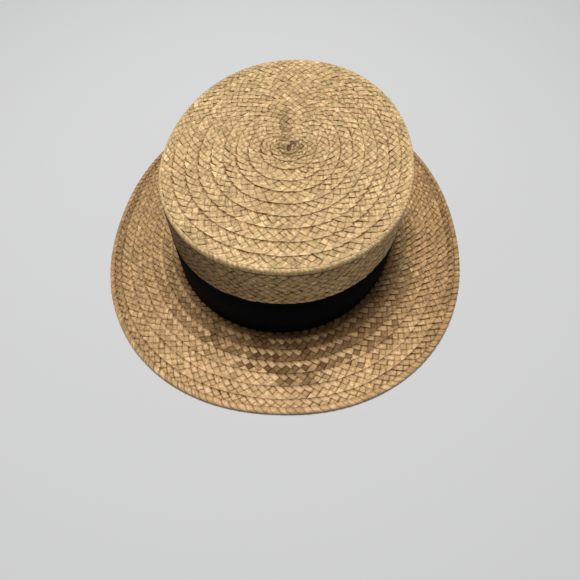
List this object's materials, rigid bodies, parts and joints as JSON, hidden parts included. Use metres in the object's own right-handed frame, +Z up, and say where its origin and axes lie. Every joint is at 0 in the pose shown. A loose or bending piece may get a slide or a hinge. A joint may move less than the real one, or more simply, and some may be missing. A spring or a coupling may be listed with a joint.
{
  "type": "straw boater hat",
  "caption": "Flat-topped straw boater hat with a short straight crown, a flat round brim and a plain dark ribbon band, worn on the head.",
  "frame": {"origin": "on the surface the hat rests on, under the middle of the brim", "axes": "+Y along the length of the head, +X across it, +Z up through the crown"},
  "size_m": [0.273, 0.3084, 0.079],
  "materials": {
    "crown_straw": "golden plaited straw, satin",
    "brim_straw": "darker plaited straw, satin",
    "navy_ribbon": "ribbed navy ribbon, matte"
  },
  "bodies": {
    "root": {"crown": "crown_straw", "brim": "brim_straw", "ribbon_band": "navy_ribbon"}
  },
  "joints": []
}
